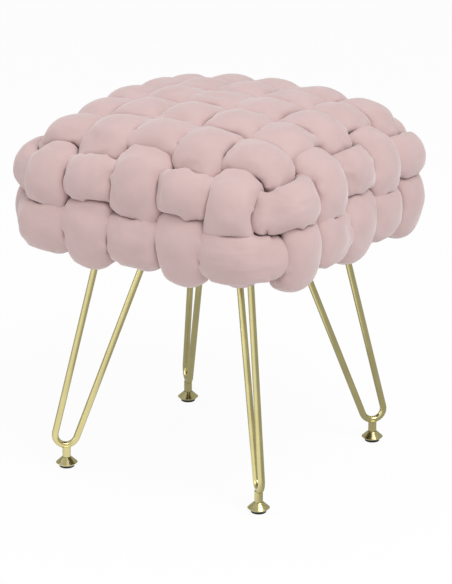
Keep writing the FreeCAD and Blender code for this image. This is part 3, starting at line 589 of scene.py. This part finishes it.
class STOOL_OT_woven_seat(bpy.types.Operator):
    """Blows up the twelve velvet tubes against each other and settles them as cloth"""
    bl_idname = "stool.woven_seat"
    bl_label = "Woven seat"

    def execute(self, context):
        settings = context.scene.stool_seat
        velvet = velvet_material(settings.velvet)
        pieces = [self.blank(node, settings) for node in STRANDS]
        counts = [len(piece.data.vertices) for piece in pieces]
        starts = np.concatenate([[0], np.cumsum(counts)])
        points = np.concatenate([coordinates(piece.data) for piece in pieces])
        faces = np.concatenate([self.quads(piece.data) + start for piece, start in zip(pieces, starts)])
        points = swelled(points, faces, settings, rounds=14)
        points = self.settled(context.scene, points, faces, settings)
        points = swelled(points, faces, settings, rounds=6, growth=0.0)
        for piece, node, start, end in zip(pieces, STRANDS, starts, starts[1:]):
            set_coordinates(piece.data, points[start:end])
            apply_modifier(piece, "round", "SUBSURF", levels=1, render_levels=1)
            self.gathered(piece.data, node, settings.gather)
            self.tucked(piece.data)
            only(piece)
            bpy.ops.object.shade_smooth()
            dress(piece, velvet)
            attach(piece, "stool")
            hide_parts(node)
        return {"FINISHED"}

    def blank(self, node, settings):
        """A tube's own mesh on an even grid, a little smaller than the solid."""
        piece = node_copy(node, node.replace("_tube", "_strand"))
        apply_modifier(piece, "even", "REMESH", mode="VOXEL", voxel_size=settings.voxel)
        apply_modifier(piece, "soften", "SMOOTH", factor=0.5, iterations=4)
        return piece

    def quads(self, mesh):
        """The faces of an evenly remeshed tube, four points each."""
        flat = np.zeros(len(mesh.loops), np.int32)
        mesh.loops.foreach_get("vertex_index", flat)
        if len(flat) != 4 * len(mesh.polygons):
            raise RuntimeError("%s isn't all four-sided faces" % mesh.name)
        return flat.reshape(-1, 4)

    def gathered(self, mesh, node, fold):
        """Draws the velvet into small folds that run along the tube, where its neighbours pinch it."""
        points = coordinates(mesh)
        normals = np.zeros(points.size, np.float32)
        mesh.vertices.foreach_get("normal", normals)
        x, y, z = points.T
        if "ring" in node:
            along, across = np.arctan2(y, x) * RING_RADIUS, z
            corner = np.clip((np.abs(x) + np.abs(y) - 0.27) / 0.05, 0.0, 1.0)
        else:
            run, across = (y, x) if "warp" in node else (x, y)
            along = run + np.sign(run) * (MIDDLE_TOP - z)
            corner = np.zeros(len(points))
        pinch = np.clip(1.15 - 1.8 * height_over_middle(points) / FULL_CREST, 0.0, 1.0)
        pinch = np.maximum(pinch, 0.35 * corner) * (1.0 + 0.6 * corner)
        number = STRANDS.index(node) * 7.3
        folds = [abs(noise.noise((a / FOLD_WIDTH, b / FOLD_LENGTH, number))) for a, b in zip(across, along)]
        patch = [0.5 + 1.3 * noise.noise((a / PATCH_SIZE, b / PATCH_SIZE, number + 3.1))
                 for a, b in zip(across, along)]
        rise = fold * pinch * np.clip(patch, 0.0, 1.0) * (2.2 * np.array(folds) - 0.6)
        set_coordinates(mesh, points + normals.reshape(-1, 3) * rise[:, None])

    def tucked(self, mesh):
        """Keeps the tubes' thin ends above the dust cloth's rim, which covers them."""
        points = coordinates(mesh)
        low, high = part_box("dust_cover")
        over = (np.abs(points[:, 0]) < high[0] + RIM_MARGIN) & (np.abs(points[:, 1]) < high[1] + RIM_MARGIN)
        points[over, 2] = np.maximum(points[over, 2], low[2] + RIM_ROOM)
        set_coordinates(mesh, points)

    def settled(self, scene, points, faces, settings):
        """Runs the tubes together as stuffed cloth that touches itself, and caps how far a point moves."""
        mesh = bpy.data.meshes.new("settling_seat")
        mesh.from_pydata(points.tolist(), [], faces.tolist())
        seat = bpy.data.objects.new("settling_seat", mesh)
        scene.collection.objects.link(seat)
        cloth = seat.modifiers.new("settle", "CLOTH")
        cloth.settings.quality = 5
        cloth.settings.mass = 0.2
        cloth.settings.tension_stiffness = 12.0
        cloth.settings.compression_stiffness = 12.0
        cloth.settings.shear_stiffness = 5.0
        cloth.settings.bending_stiffness = 0.3
        cloth.settings.air_damping = 3.0
        cloth.settings.shrink_min = -0.03
        cloth.settings.use_pressure = True
        cloth.settings.uniform_pressure_force = settings.pressure
        cloth.settings.effector_weights.gravity = 0.0
        cloth.collision_settings.use_collision = False
        cloth.collision_settings.use_self_collision = True
        cloth.collision_settings.self_distance_min = settings.gap
        cloth.point_cache.frame_end = settings.frames
        for number in range(1, settings.frames + 1):
            scene.frame_set(number)
        shaped = seat.evaluated_get(bpy.context.evaluated_depsgraph_get())
        moved = coordinates(shaped.data) - points
        scene.frame_set(1)
        bpy.data.objects.remove(seat)
        length = np.maximum(np.linalg.norm(moved, axis=1), 1e-9)
        return points + moved * np.minimum(1.0, settings.settle / length)[:, None]


class STOOL_PT_build(bpy.types.Panel):
    """Builds the footstool's pieces"""
    bl_idname = "STOOL_PT_build"
    bl_label = "Footstool"
    bl_space_type = "VIEW_3D"
    bl_region_type = "UI"
    bl_category = "Footstool"

    def draw(self, context):
        for operator in OPERATORS:
            self.layout.operator(operator.bl_idname)
        for group in SETTINGS:
            for name in SETTINGS[group].__annotations__:
                self.layout.prop(getattr(context.scene, group), name)


OPERATORS = (STOOL_OT_stage, STOOL_OT_legs, STOOL_OT_fixings, STOOL_OT_foot_pads, STOOL_OT_panel,
             STOOL_OT_woven_seat)
SETTINGS = {"stool_seat": StoolSeatSettings, "stool_legs": StoolLegSettings,
            "stool_panel": StoolPanelSettings, "stool_stage": StoolStageSettings}


def register():
    for group, kind in SETTINGS.items():
        bpy.utils.register_class(kind)
        setattr(bpy.types.Scene, group, bpy.props.PointerProperty(type=kind))
    for kind in OPERATORS + (STOOL_PT_build,):
        bpy.utils.register_class(kind)


def unregister():
    for kind in reversed(OPERATORS + (STOOL_PT_build,)):
        bpy.utils.unregister_class(kind)
    for group, kind in SETTINGS.items():
        delattr(bpy.types.Scene, group)
        bpy.utils.unregister_class(kind)


def main():
    register()
    bpy.context.scene.view_settings.view_transform = "Standard"
    bpy.ops.stool.stage()
    bpy.ops.stool.legs()
    bpy.ops.stool.fixings()
    bpy.ops.stool.foot_pads()
    bpy.ops.stool.panel()
    bpy.ops.stool.woven_seat()


if __name__ == "__main__":
    main()
